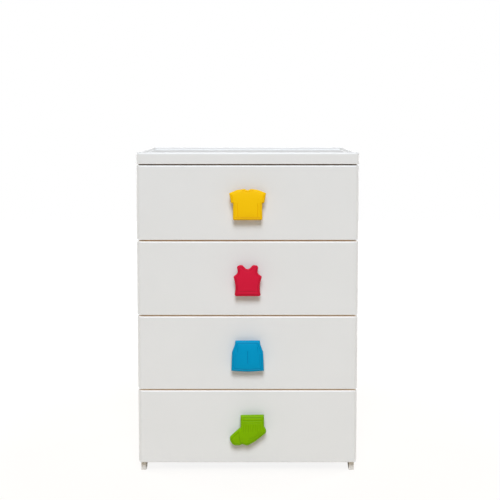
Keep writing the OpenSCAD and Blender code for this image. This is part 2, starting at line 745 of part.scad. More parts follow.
module pull_screws(k) color("#b9bcc0") for (x = [-1, 1] * screw_spacing / 2) translate([x, 0, pull_z(k)]) {
    seat_y = front_back_y + box_wall;
    difference() {
        union() {
            bar_y(0, 0, seat_y, seat_y + head_h, head_d);
            bar_y(0, 0, front_face_y - screw_grip, seat_y + weld, screw_d);
        }
        for (turn = [0, 90]) translate([0, seat_y + head_h - slot_depth, 0]) rotate([0, turn, 0])
            block([-head_d * slot_reach, 0, -slot_w / 2], [head_d * slot_reach, head_h, slot_w / 2]);
    }
}

top_panel();
mirror([1, 0, 0]) side_panel();  // side_panel_left
side_panel();  // side_panel_right
back_panel();
for (k = [1 : tier_count - 1]) runner_frame(k);
runner_frame(tier_count);  // base_frame
for (k = DRAWERS) drawer_front(k);
for (k = DRAWERS) drawer_box(k);
for (k = DRAWERS) pull(k);
for (k = DRAWERS) pull_screws(k);
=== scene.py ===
import math

import bmesh
import bpy
import numpy as np
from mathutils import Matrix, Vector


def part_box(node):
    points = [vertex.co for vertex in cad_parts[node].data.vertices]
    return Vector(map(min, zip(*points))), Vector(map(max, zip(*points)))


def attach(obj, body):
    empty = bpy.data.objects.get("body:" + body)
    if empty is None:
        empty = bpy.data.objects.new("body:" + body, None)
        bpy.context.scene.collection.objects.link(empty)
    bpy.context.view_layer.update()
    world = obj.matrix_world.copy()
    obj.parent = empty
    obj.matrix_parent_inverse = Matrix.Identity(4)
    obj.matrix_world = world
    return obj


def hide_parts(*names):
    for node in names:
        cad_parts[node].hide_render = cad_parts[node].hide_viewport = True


# A chest of four drawers for children's clothes, moulded in plastic, with a garment for each pull.
# Shapes are worked out in millimetres in the frame's axes: X to the right, Y to the back, Z up.

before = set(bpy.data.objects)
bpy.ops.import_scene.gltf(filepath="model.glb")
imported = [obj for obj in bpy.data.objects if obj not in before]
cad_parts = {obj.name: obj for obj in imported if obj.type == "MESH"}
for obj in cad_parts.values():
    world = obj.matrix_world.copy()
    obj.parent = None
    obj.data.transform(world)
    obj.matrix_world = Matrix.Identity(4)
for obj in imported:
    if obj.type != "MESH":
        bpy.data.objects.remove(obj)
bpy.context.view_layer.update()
MM = 0.001

# ------------------------------------------------------------------ sizes, in millimetres
WALL = 2.4               # wall of the fronts, the top panel and the pulls' plates
RIB_T = 2                # thickness of a rib
EASE = 0.3               # easing of a small edge, and the least radius of a corner
SINK = 0.5               # how far the ribs of the boxes and the top reach into what carries them
CLEARANCE = 0.3          # between the top panel's ribs and the panels that they hold
CARCASS_BEVEL = 0.4      # easing of the carcass's edges
SCREW_BEVEL = 0.25       # easing of a screw's edges

# Drawer fronts
FRONT_T = 16             # depth of a front
FRONT_SIDE_R = 10        # rounding of its upright edges
FRONT_TOP_R = 4.0        # rounding of its top edge
FRONT_BOTTOM_R = 1.6     # rounding of its bottom edge
FRONT_CORNER_R = 3       # rounding of its four corners, seen from the front
INNER_BOTTOM_R = 1.1     # rounding of the bottom edge on the inside of the wall
INNER_CORNER_R = 1.2     # rounding of the four corners on the inside of the wall
FRONT_EASE = 0.4         # easing of the rim at its back, and how far the ribs reach into the wall
HOOK_W = 12              # a spring hook's width
HOOK_T = 2               # its thickness
HOOK_REACH = 5.5         # how far it stands out behind the front
HOOK_BARB = 2            # height of its barb
HOOK_BARB_RUN = 3        # length of the barb's slope
HOOK_INSET = 18          # from the box's floor or rim to the hook
HOOK_EASE = 0.2          # rounding of the barb's edges
BOSS_R = 4.5             # a screw boss's outside radius
FRONT_BORE_R = 2.15      # the clearance bore in a front's boss

# Drawer boxes
BOX_WALL = 2.2
BOX_DRAFT = 2            # degrees that a box's sides lean outwards
BOX_FLOOR_X = 240        # half the width of a box at its floor
BOX_FRONT_R = 3          # rounding of the two front corners, seen from above
BOX_REAR_R = 16          # rounding of the two rear corners
BOX_EDGE_R = 2           # rounding round the floor, outside
BOX_FILLET_R = 3         # rounding round the floor, inside
FLANGE_W = 7             # how far a box's rim stands out
FLANGE_LIP = 7           # height of the rim's down-turned edge
FLANGE_EASE = 0.4        # easing of the rim's lower edges
BOX_RIB_H = 5            # height of the ribs under the floor
RIB_FRONT_GAP = 12       # from the front wall to the end of a rib
RIB_REAR_GAP = 17        # from the rear wall to the end of a rib
SKID_H = 12              # height of a skid under the floor
SKID_W = 16
SKID_EASE = 0.8          # rounding of a skid's edges
SKID_FRONT_GAP = 4       # from the front wall to the end of a skid
SKID_REAR_GAP = 6        # from the rear wall to the end of a skid
LUG_X = 166              # from the middle to the centre of a stop lug
LUG_Y = 134.3            # the lug's upright face, which meets the lip of the frame
LUG_W = 24               # width of a lug
LUG_LIFT = 0.2           # from the runners' plane up to the lug's sole
LUG_TIP = 4              # length of the lug's sole
LUG_ROOT = 16            # length of the lug at the floor

# Top panel
TOP_CORNER_R = 8         # rounding of the four corners, seen from above
RIM_W = 11               # width of the rim round the tray
RIM_EDGE_R = 5           # rounding of the rim's outer edge
TRAY_DEPTH = 8
TRAY_CORNER_R = 7        # rounding of the tray's four corners
TRAY_FILLET_R = 3        # rounding between the tray's floor and its wall
TRAY_MOUTH_R = 1.5       # rounding of the rim's inner edge
TOP_RIB_H = 11.5         # height of the ribs under the tray

# Pulls
PULL_REACH = 27          # from a front to the face of its pull
PLATE_T = 11             # thickness of a pull's plate at its middle
PLATE_EDGE_R = 6
PLATE_CROWN = 1.5
CROWN_REACH = 24         # how far from the edge the crown still rises
PLATE_BOW = 2.2          # how far the plate bends back towards its top and bottom
PLATE_RECESS = 5         # depth of the recess behind the plate
PLATE_STEP = 0.6         # spacing of the points along a plate's edge
PULL_H = 78
PULL_DROP = 3            # pull's centre below the middle of its front
SEAM_W = 3.2
SEAM_DEPTH = 1.1
SCREW_SPACING = 19
SCREW_X = (-SCREW_SPACING / 2, SCREW_SPACING / 2)
NECK_MARGIN = 7.5        # from a screw's axis to the neck's side
NECK_HALF_H = 10         # half the height of the neck
NECK_CORNER_R = 9
NECK_WALL = 2.2
NECK_BORE_R = 2.05       # the pilot bore in a neck's boss

# Steps round each corner of an outline, and along each side that follows it
PANEL_ARC = 10
FRONT_RUNS = (24, 8, 24, 8)
TOP_RUNS = (24, 16, 24, 16)
BOX_ARCS = (5, 5, 14, 14)
BOX_RUNS = (16, 12, 16, 12)
BOSS_SIDES = 40

# Degrees above which two faces meet in an edge
CAD_SHARP = 24           # on a copy of a CAD node
MOULDING_SHARP = 32      # on a shape that is made here

DRAWERS = (1, 2, 3, 4)
PULLS = ("shirt", "vest", "skirt", "sock")


# ------------------------------------------------------------------ outlines
def box_mm(node):
    """Lowest and highest corner of a CAD node, in millimetres."""
    low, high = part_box(node)
    return np.array(low) / MM, np.array(high) / MM


def unit(vectors):
    """Each vector divided by its length."""
    return vectors / np.linalg.norm(vectors, axis=-1, keepdims=True)


def corner_ways(corners):
    """For each corner of an outline: its point, the directions back and ahead, and half the angle
    between them."""
    points = corners[:, :2]
    back = unit(np.roll(points, 1, axis=0) - points)
    ahead = unit(np.roll(points, -1, axis=0) - points)
    half = np.arccos(np.clip((back * ahead).sum(-1), -1, 1)) / 2
    return points, back, ahead, half


def outline(corners, arcs, runs=1):
    """Points round an outline: an arc of radius r at each corner (a, b, r), then a straight run to
    the next arc. The arc's centre lies on the line that halves the corner."""
    corners = np.asarray(corners, float)
    points, back, ahead, half = corner_ways(corners)
    radius = corners[:, 2:]
    centre = points + unit(back + ahead) * radius / np.sin(half)[:, None]
    first = points + back * radius / np.tan(half)[:, None] - centre
    last = points + ahead * radius / np.tan(half)[:, None] - centre
    start = np.arctan2(first[:, 1], first[:, 0])
    turn = (np.arctan2(last[:, 1], last[:, 0]) - start + np.pi) % (2 * np.pi) - np.pi
    arcs = np.broadcast_to(arcs, len(corners))
    runs = np.broadcast_to(runs, len(corners))
    parts = []
    for i in range(len(corners)):
        angle = start[i] + turn[i] * np.linspace(0, 1, arcs[i] + 1)
        parts.append(centre[i] + radius[i] * np.stack([np.cos(angle), np.sin(angle)], -1))
        following = (i + 1) % len(corners)
        target = centre[following] + first[following]
        share = np.linspace(0, 1, runs[i] + 1)[1:-1, None]
        parts.append(parts[-1][-1] * (1 - share) + target * share)
    return np.concatenate(parts)


def inset(corners, distance):
    """The outline moved inwards by a distance: outward corners get tighter and inward corners
    wider."""
    corners = np.asarray(corners, float)
    points, back, ahead, half = corner_ways(corners)
    way = np.sign(ahead[:, 0] * back[:, 1] - ahead[:, 1] * back[:, 0])[:, None]
    moved = points + way * unit(back + ahead) * distance / np.sin(half)[:, None]
    return np.hstack([moved, np.maximum(EASE, corners[:, 2:] - way * distance)])


def rectangle(low, high, radius):
    """The four corners (a, b, r) of a rectangle, from its lowest one round."""
    return [(low[0], low[1], radius), (high[0], low[1], radius),
            (high[0], high[1], radius), (low[0], high[1], radius)]


def symmetric(half):
    """The right half of an outline, from the bottom up, with its mirror image added."""
    return half + [(-x, z, r) for x, z, r in reversed(half) if x > 0]


def spaced(start, end, count):
    """Evenly spaced places between two ends, both ends left out."""
    return start + (end - start) * np.arange(1, count + 1) / (count + 1)


# ------------------------------------------------------------------ skins and pieces
def skin(rings, first, last):
    """A closed shape: quads between neighbouring rings, and a fan of triangles to a point at
    either end."""
    rings = np.asarray(rings, float)
    count, size = rings.shape[:2]
    row = np.arange(count - 1)[:, None] * size
    here, there = np.arange(size), (np.arange(size) + 1) % size
    quads = np.stack([row + here, row + there, row + size + there, row + size + here], -1)
    end = (count - 1) * size
    fans = np.concatenate([
        np.stack([there, here, np.full(size, count * size)], -1),
        np.stack([end + here, end + there, np.full(size, count * size + 1)], -1),
    ])
    points = np.concatenate([rings.reshape(-1, 3), [first], [last]])
    return outwards(points, quads.reshape(-1, 4), fans)


def outwards(points, quads, triangles):
    """Turns the faces of a closed shape outwards, by the sign of the volume that they enclose."""
    every = np.concatenate([quads[:, [0, 1, 2]], quads[:, [0, 2, 3]], triangles])
    a, b, c = points[every[:, 0]], points[every[:, 1]], points[every[:, 2]]
    if (a * np.cross(b, c)).sum() < 0:
        quads, triangles = quads[:, ::-1], triangles[:, ::-1]
    return points, quads, triangles


def place(flat_points, level, axis):
    """Puts points of a plane into space, at a level along the axis X, Y or Z that is normal to
    the plane."""
    level = np.broadcast_to(level, len(flat_points))
    columns = {
        "X": (level, flat_points[:, 0], flat_points[:, 1]),
        "Y": (flat_points[:, 0], level, flat_points[:, 1]),
        "Z": (flat_points[:, 0], flat_points[:, 1], level),
    }
    return np.stack(columns[axis], -1)


def prism(corners, axis, start, end, edge=EASE, arcs=3):
    """An outline carried along an axis, with the edges of its two ends eased by `edge`."""
    rows = [(edge, start), (0, start + edge), (0, end - edge), (edge, end)]
    rings = [place(outline(inset(corners, step), arcs), level, axis) for step, level in rows]
    return skin(rings, rings[0].mean(0), rings[-1].mean(0))


def bar(low, high):
    """A straight bar between two corners of its box, with all its edges eased."""
    return prism(rectangle(low[:2], high[:2], EASE), "Z", low[2], high[2], arcs=2)


def tube(centre, y0, y1, outer, inner):
    """A boss along Y: the outer wall, the far rim, and the bore, which ends 1 mm from y0."""
    angle = np.linspace(0, 2 * np.pi, BOSS_SIDES, endpoint=False)
    circle = np.stack([np.cos(angle), np.sin(angle)], -1)
    rows = [(outer, y0), (outer, y1 - EASE), (outer - EASE, y1),
            (inner + EASE, y1), (inner, y1 - EASE), (inner, y0 + 1)]
    rings = [place(circle * radius + centre, level, "Y") for radius, level in rows]
    return skin(rings, rings[0].mean(0), rings[-1].mean(0))


def piece(name, shapes, node, body, material, others=()):
    """One Blender object made of closed shapes in millimetres, which stands for a CAD node. others
    lists further materials, each with the box whose faces take it: (material, low corner, high
    corner)."""
    points, faces, middles, start = [], [], [], 0
    for shape_points, quads, triangles in shapes:
        points.append(shape_points)
        faces += (quads + start).tolist() + (triangles + start).tolist()
        middles += [shape_points[quads].mean(1), shape_points[triangles].mean(1)]
        start += len(shape_points)
    mesh = bpy.data.meshes.new(name)
    mesh.from_pydata((np.concatenate(points) * MM).tolist(), [], faces)
    obj = finished(name, mesh, node, body, material, MOULDING_SHARP)
    middles = np.concatenate(middles)
    chosen = np.zeros(len(middles), np.int32)
    for number, (other, low, high) in enumerate(others, start=1):
        mesh.materials.append(other)
        chosen[((middles > low) & (middles < high)).all(-1)] = number
    mesh.polygons.foreach_set("material_index", chosen)
    return obj


def finished(name, mesh, node, body, material, sharp):
    """Shades a mesh smooth up to a sharp angle, gives it its material and makes it the piece for a
    CAD node."""
    mesh.shade_smooth()
    mesh.set_sharp_from_angle(angle=math.radians(sharp))
    mesh.materials.clear()
    mesh.materials.append(material)
    obj = bpy.data.objects.new(name, mesh)
    bpy.context.scene.collection.objects.link(obj)
    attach(obj, body)
    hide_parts(node)
    return obj


def eased(node, body, material, width):
    """A merged copy of a CAD node whose edges are eased by a bevel, as a mould leaves them. Points
    within 0.002 mm are merged, and faces within half a degree become one."""
    work = bmesh.new()
    work.from_mesh(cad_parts[node].data)
    bmesh.ops.remove_doubles(work, verts=work.verts, dist=0.002 * MM)
    bmesh.ops.dissolve_limit(work, angle_limit=math.radians(0.5),
                             verts=work.verts, edges=work.edges)
    mesh = bpy.data.meshes.new(f"{node}_moulding")
    work.to_mesh(mesh)
    work.free()
    obj = finished(f"{node}_moulding", mesh, node, body, material, CAD_SHARP)
    bevel = obj.modifiers.new("eased edges", "BEVEL")
    bevel.width = width * MM
    bevel.segments = 2
    bevel.limit_method = "ANGLE"
    bevel.angle_limit = math.radians(CAD_SHARP)
    bevel.use_clamp_overlap = True
    weighted = obj.modifiers.new("flat faces stay flat", "WEIGHTED_NORMAL")
    weighted.keep_sharp = True


# ------------------------------------------------------------------ materials
ABS_IOR = 1.54
PP_IOR = 1.49
CLOUD_SIZE = 160         # millimetres across a cloud of colour
WAVE_SIZE = 55           # millimetres along a wave that the mould's cooling leaves
GRAIN_SIZE = 1.2         # the real grain is 0.2 mm, and is drawn as 1.2 mm so that it shows
TRAY_GRAIN_SIZE = 2.2    # the tray's coarser grain
MOTTLE_SIZE = 1.5        # the zinc's crystals, in millimetres
ROUGH_SPREAD = 0.04      # how far the grain moves the roughness up and down
PAINTED_GLOW_AMBER = "#D49A48"        # painted glow, standing in for light that has come through a plastic wall
MIX_A, MIX_B, MIXED = 6, 7, 2  # the colour sockets of a Mix node


def srgb(code):
    """A hex colour as the linear values that the shaders take."""
    parts = [int(code[i:i + 2], 16) / 255 for i in (1, 3, 5)]
    linear = [c / 12.92 if c <= 0.04045 else ((c + 0.055) / 1.055) ** 2.4 for c in parts]
    return (*linear, 1.0)


def add(tree, kind, sockets=None, **settings):
    """Adds a node with its settings. Each socket gets a value, or a link where another node's
    output is given."""
    node = tree.nodes.new(kind)
    for name, value in settings.items():
        setattr(node, name, value)
    for name, value in (sockets or {}).items():
        if isinstance(value, bpy.types.NodeSocket):
            tree.links.new(value, node.inputs[name])
        else:
            node.inputs[name].default_value = value
    return node


def new_material(name):
    """A material with an empty node tree, and that tree."""
    material = bpy.data.materials.new(name)
    material.use_nodes = True
    material.node_tree.nodes.clear()
    return material, material.node_tree


def moulded_plastic(name, colour, shade, roughness, ior, grain, wave, gloss=0.5,
                    grain_size=GRAIN_SIZE, painted_glow=0.0, seam_shade_colour=None):
    """Injection-moulded plastic: cloudy colour between two near tones, an eroded grain, and long
    waves left by the mould's cooling. grain and wave are heights in millimetres. The emission is a
    painted amber glow of the given strength, standing in for light that comes through a wall, and
    the seam colour is painted shade that darkens the seams."""
    material, tree = new_material(name)
    where = add(tree, "ShaderNodeTexCoord").outputs["Object"]
    cloud = add(tree, "ShaderNodeTexNoise", {
        "Vector": where, "Scale": 1 / (CLOUD_SIZE * MM), "Detail": 3.0})
    tint = add(tree, "ShaderNodeMix", {
        "Factor": cloud.outputs["Fac"], MIX_A: srgb(colour), MIX_B: srgb(shade)}, data_type="RGBA")
    # Painted shade: the seams are darkened by their share of seam depth
    if seam_shade_colour:
        seam = add(tree, "ShaderNodeAttribute", attribute_name="seam")
        tint = add(tree, "ShaderNodeMix", {
            "Factor": seam.outputs["Fac"], MIX_A: tint.outputs[MIXED], MIX_B: srgb(seam_shade_colour)},
            data_type="RGBA")
    fine = add(tree, "ShaderNodeTexNoise", {
        "Vector": where, "Scale": 1 / (grain_size * MM), "Detail": 2.0})
    long = add(tree, "ShaderNodeTexNoise", {
        "Vector": where, "Scale": 1 / (WAVE_SIZE * MM), "Detail": 1.0})
    rough = add(tree, "ShaderNodeMapRange", {
        "Value": fine.outputs["Fac"], "From Min": 0.3, "From Max": 0.7,
        "To Min": roughness - ROUGH_SPREAD, "To Max": roughness + ROUGH_SPREAD})
    grain_bump = add(tree, "ShaderNodeBump", {
        "Height": fine.outputs["Fac"], "Distance": grain * MM, "Strength": 1.0})
    wave_bump = add(tree, "ShaderNodeBump", {
        "Height": long.outputs["Fac"], "Distance": wave * MM, "Strength": 1.0,
        "Normal": grain_bump.outputs["Normal"]})
    # The emission is a painted amber glow
    shader = add(tree, "ShaderNodeBsdfPrincipled", {
        "Base Color": tint.outputs[MIXED], "Roughness": rough.outputs["Result"], "IOR": ior,
        "Specular IOR Level": gloss, "Emission Color": srgb(PAINTED_GLOW_AMBER), "Emission Strength": painted_glow,
        "Normal": wave_bump.outputs["Normal"]})
    add(tree, "ShaderNodeOutputMaterial", {"Surface": shader.outputs["BSDF"]})
    return material


def zinc_plate():
    """Zinc-plated steel: a cool bright metal with a faint mottle from the bath."""
    material, tree = new_material("zinc_plated_steel")
    where = add(tree, "ShaderNodeTexCoord").outputs["Object"]
    mottle = add(tree, "ShaderNodeTexNoise", {
        "Vector": where, "Scale": 1 / (MOTTLE_SIZE * MM), "Detail": 3.0})
    tint = add(tree, "ShaderNodeMix", {
        "Factor": mottle.outputs["Fac"], MIX_A: srgb("#C3C7CC"), MIX_B: srgb("#D8DADC")},
        data_type="RGBA")
    rough = add(tree, "ShaderNodeMapRange", {
        "Value": mottle.outputs["Fac"], "To Min": 0.26, "To Max": 0.42})
    shader = add(tree, "ShaderNodeBsdfPrincipled", {
        "Base Color": tint.outputs[MIXED], "Roughness": rough.outputs["Result"], "Metallic": 1.0})
    add(tree, "ShaderNodeOutputMaterial", {"Surface": shader.outputs["BSDF"]})
    return material


# White ABS off a finely eroded mould gives a soft satin sheen on the fronts and the top
white_abs = moulded_plastic("satin_white_abs", "#EAE9E5", "#E6E5E0", 0.34, ABS_IOR,
                            grain=0.01, wave=0.015)
# The tray's floor has a coarse grain that hides scratches, so it is duller than the rim; its grey
# colour is painted shade
grained_shaded_abs = moulded_plastic("grained_white_abs_painted_shade", "#DAD8D4", "#D5D3CF", 0.80, ABS_IOR,
                              grain=0.05, wave=0.015, gloss=0.1, grain_size=TRAY_GRAIN_SIZE)
# The walls let a little light through, which comes out amber; here it is painted, as an amber
# colour and a glow on the undersides of the upper fronts, which look into a gap
painted_gap_light_abs = moulded_plastic("painted_amber_gap_light_on_white_abs", "#E8CFA6", "#E2C79B", 0.40, ABS_IOR,
                            grain=0.01, wave=0.015, painted_glow=0.2)
# Further in, below the top panel, hardly any of it is left: the inside there is painted brown shade
# with a fainter painted glow
shaded_abs = moulded_plastic("brown_shaded_inside_of_white_abs", "#D6AC74", "#CFA36A", 0.40,
                             ABS_IOR, grain=0.01, wave=0.015, painted_glow=0.05)
# The side panels, the back and the base frame are a slightly warm white with a coarser grain
ivory_pp = moulded_plastic("satin_ivory_polypropylene", "#E8E5DE", "#E4E0D8", 0.46, PP_IOR,
                           grain=0.02, wave=0.04)
# The frames between the drawers are painted cream as warm shade for the gaps, with a painted glow
# standing in for the light that comes through the walls around them
painted_shade_cream_pp = moulded_plastic("satin_cream_polypropylene_painted_shade_and_glow", "#E6CB9C", "#E0C392", 0.46, PP_IOR,
                           grain=0.02, wave=0.04, painted_glow=0.11)
# Natural polypropylene is milky and a little waxy
natural_pp = moulded_plastic("waxy_natural_polypropylene", "#EFE7D6", "#EAE1CD", 0.38, PP_IOR,
                             grain=0.012, wave=0.06)
# The pulls are ABS coloured in the mass, off a finely blasted mould that takes the shine off:
# the colour's name, its two near tones, and a deeper colour that is painted shade in the seams
PULL_COLOURS = {
    "shirt": ("yellow", "#FFCD0E", "#FFC70A", "#F2B600"),
    "vest": ("red", "#DC2040", "#D21A38", "#C41A36"),
    "skirt": ("blue", "#009CCB", "#0094C2", "#0086B2"),
    "sock": ("green", "#84B800", "#7CAE00", "#72A000"),
}
PULL_PLASTIC = {
    garment: moulded_plastic(f"satin_{name}_abs", colour, shade, 0.42, ABS_IOR, grain=0.008,
                             wave=0.02, gloss=0.05, seam_shade_colour=seam_shade_colour)
    for garment, (name, colour, shade, seam_shade_colour) in PULL_COLOURS.items()
}
zinc = zinc_plate()


# ------------------------------------------------------------------ drawer fronts
def front_plan(low, high, side, bottom, top, radius):
    """A front's outline as a rounded rectangle, moved in at its sides, its bottom and its top."""
    corners = rectangle((low[0] + side, low[2] + bottom), (high[0] - side, high[2] - top), radius)
    return outline(corners, PANEL_ARC, FRONT_RUNS)


def front_form(low, high, side_r, bottom_r, top_r, corner_r, back_y):
    """One skin of a front, from its face back to back_y. Each ring is a rectangle with rounded
    corners. The edge follows a quarter ellipse that is side_r deep at the sides, bottom_r at the
    bottom and top_r at the top, and passes from one to the other round each corner by the square
    of the cosine."""
    face_y = low[1]
    centre = (low + high)[[0, 2]] / 2
    half = (high - low)[[0, 2]] / 2
    rings = []
    for extra in (12.0, 1.0):  # two rings on the flat face
        flat = front_plan(low, high, side_r + extra, bottom_r + extra, top_r + extra, corner_r)
        rings.append(place(flat, face_y, "Y"))
    for angle in np.radians(np.linspace(90, 0, 10)):
        cut = 1 - np.cos(angle)
        flat = front_plan(low, high, side_r * cut, bottom_r * cut, top_r * cut, corner_r)
        edge_r = np.where(flat[:, 1] > centre[1], top_r, bottom_r)
        inwards = np.stack([np.full(len(flat), side_r * cut), edge_r * cut], -1)
        past = np.clip((np.abs(flat - centre) - half + inwards + corner_r) / corner_r, 0, 1)
        sideways = past[:, 0] ** 2 / np.maximum((past ** 2).sum(-1), 1e-9)
        depth = side_r * sideways + edge_r * (1 - sideways)
        rings.append(place(flat, face_y + depth * (1 - np.sin(angle)), "Y"))
    rings.append(place(flat, back_y, "Y"))
    return rings


def front_shell(low, high, back_y):
    """A hollow front: the outer skin, the rim at its back, and the inner skin one wall further
    in."""
    outer = front_form(low, high, FRONT_SIDE_R, FRONT_BOTTOM_R, FRONT_TOP_R, FRONT_CORNER_R,
                       back_y - FRONT_EASE)
    inner = front_form(low + WALL, high - WALL, FRONT_SIDE_R - WALL, INNER_BOTTOM_R,
                       FRONT_TOP_R - WALL, INNER_CORNER_R, back_y - FRONT_EASE)
    rims = [place(front_plan(low, high, step, step, step, FRONT_CORNER_R - step), back_y, "Y")
            for step in (FRONT_EASE, WALL - FRONT_EASE)]
    return skin(outer + rims + inner[::-1], outer[0].mean(0), inner[0].mean(0))


def front_details(low, high, back_y, pull_z, box_z, rim_z):
    """What lies behind the face: crossed ribs, the two screw bosses and eight spring hooks."""
    into_wall = WALL - FRONT_EASE
    x0, inner_y, z0 = low + into_wall
    x1, _, z1 = high - into_wall
    shapes = [bar((x - RIB_T / 2, inner_y, z0), (x + RIB_T / 2, back_y, z1))
              for x in spaced(low[0], high[0], 6)]
    shapes += [bar((x0, inner_y, z - RIB_T / 2), (x1, back_y, z + RIB_T / 2))
               for z in spaced(low[2], high[2], 2)]
    shapes += [tube((x, pull_z), inner_y, back_y, BOSS_R, FRONT_BORE_R) for x in SCREW_X]
    tip = back_y + HOOK_REACH
    root = tip - HOOK_BARB_RUN
    for x in spaced(-BOX_FLOOR_X, BOX_FLOOR_X, 4):
        hook_x0, hook_x1 = x - HOOK_W / 2, x + HOOK_W / 2
        for z, way in ((box_z + HOOK_INSET, -1), (rim_z - HOOK_INSET, 1)):
            shapes.append(bar((hook_x0, inner_y, z - HOOK_T / 2), (hook_x1, tip, z + HOOK_T / 2)))
            level = z + way * (HOOK_T / 2 - EASE)
            barb = [(root, level, HOOK_EASE), (tip, level, HOOK_EASE),
                    (root, level + way * HOOK_BARB, HOOK_EASE)]
            shapes.append(prism(barb[::way], "X", hook_x0, hook_x1, HOOK_EASE))
    return shapes


# ------------------------------------------------------------------ drawer boxes
def box_ring(z, floor_z, front_y, rear_y, out, thick):
    """A box's plan at height z: its sides and rear lean out with the height, and its front wall is
    upright. out moves the sides and rear outwards, and thick moves all four walls inwards."""
    lean = (z - floor_z) * math.tan(math.radians(BOX_DRAFT))
    x = BOX_FLOOR_X + lean + out - thick
    rear = rear_y + lean + out - thick
    front = front_y + thick
    rear_r = BOX_REAR_R + out - thick
    corners = [(-x, front, BOX_FRONT_R), (x, front, BOX_FRONT_R),
               (x, rear, rear_r), (-x, rear, rear_r)]
    return place(outline(corners, BOX_ARCS, BOX_RUNS), z, "Z")


def box_shell(floor_z, rim_z, front_y, rear_y):
    """The box in one skin: a profile of (height, outwards, inwards) carried round its plan. It runs
    under the floor, up the leaning walls, out and down the rim, back over it and down to the
    floor inside."""
    quarter = np.radians((0, 30, 60, 90))
    rim = rim_z - floor_z
    under = rim - WALL
    lip = rim - FLANGE_LIP
    flange_in = FLANGE_W - BOX_WALL
    # Under the floor, round its edge and up the walls
    rows = [(0, 0, 6), (0, 0, 3)]
    rows += [(BOX_EDGE_R * (1 - math.cos(a)), 0, BOX_EDGE_R * (1 - math.sin(a))) for a in quarter]
    rows += [(rim * 0.5, 0, 0), (under - 0.5, 0, 0), (under, 0.5, 0)]
    # Out below the rim, down and round its turned edge, and up outside
    rows += [(under, flange_in - FLANGE_EASE, 0), (under - FLANGE_EASE, flange_in, 0)]
    rows += [(lip + FLANGE_EASE, flange_in, 0), (lip, flange_in + FLANGE_EASE, 0)]
    rows += [(lip, FLANGE_W - FLANGE_EASE, 0), (lip + FLANGE_EASE, FLANGE_W, 0)]
    # Over the rim, with both its edges rounded
    rows += [(rim - 1.2, FLANGE_W, 0), (rim - 0.35, FLANGE_W - 0.35, 0), (rim, FLANGE_W - 1.2, 0)]
    rows += [(rim, 1, 0), (rim, 0, 0.6), (rim - 0.2, 0, 1.3), (rim - 0.8, 0, 1.9)]
    # Down the inside, round the fillet and onto the floor
    rows += [(rim - 1.6, 0, BOX_WALL), (rim * 0.5, 0, BOX_WALL)]
    rows += [(WALL + BOX_FILLET_R * (1 - math.sin(a)), 0,
              BOX_WALL + BOX_FILLET_R * (1 - math.cos(a))) for a in quarter]
    rows += [(WALL, 0, BOX_WALL + BOX_FILLET_R + 2)]
    rings = [box_ring(floor_z + height, floor_z, front_y, rear_y, out, thick)
             for height, out, thick in rows]
    middle = (front_y + rear_y) / 2
    return skin(rings, (0, middle, floor_z), (0, middle, floor_z + WALL))


def box_details(floor_z, runner_z, front_y, rear_y):
    """What lies under the floor: crossed ribs, the two skids and the two lugs that stop the
    drawer."""
    rib_x = BOX_FLOOR_X - SKID_W + SINK
    rib_z, in_floor = floor_z - BOX_RIB_H, floor_z + SINK
    shapes = [bar((-rib_x, y - RIB_T / 2, rib_z), (rib_x, y + RIB_T / 2, in_floor))
              for y in spaced(front_y, rear_y, 5)]
    shapes += [bar((x - RIB_T / 2, front_y + RIB_FRONT_GAP, rib_z),
                   (x + RIB_T / 2, rear_y - RIB_REAR_GAP, in_floor))
               for x in spaced(-rib_x, rib_x, 4)]
    # Profiles seen from the side: (y, z, radius)
    start, end = front_y + SKID_FRONT_GAP, rear_y - SKID_REAR_GAP
    slope = SKID_H / 2
    skid = [(start + slope, runner_z, 3), (end - slope, runner_z, 3),
            (end, in_floor, 0.5), (start, in_floor, 0.5)]
    lug_z = runner_z + LUG_LIFT
    lug = [(LUG_Y, lug_z, 0.8), (LUG_Y + LUG_TIP, lug_z, 0.8),
           (LUG_Y + LUG_ROOT, in_floor, 0.5), (LUG_Y, in_floor, 0.3)]
    for way in (-1, 1):
        ends = sorted((way * (BOX_FLOOR_X - SKID_W), way * BOX_FLOOR_X))
        shapes.append(prism(skid, "X", *ends, edge=SKID_EASE))
        shapes.append(prism(lug, "X", way * LUG_X - LUG_W / 2, way * LUG_X + LUG_W / 2))
    return shapes


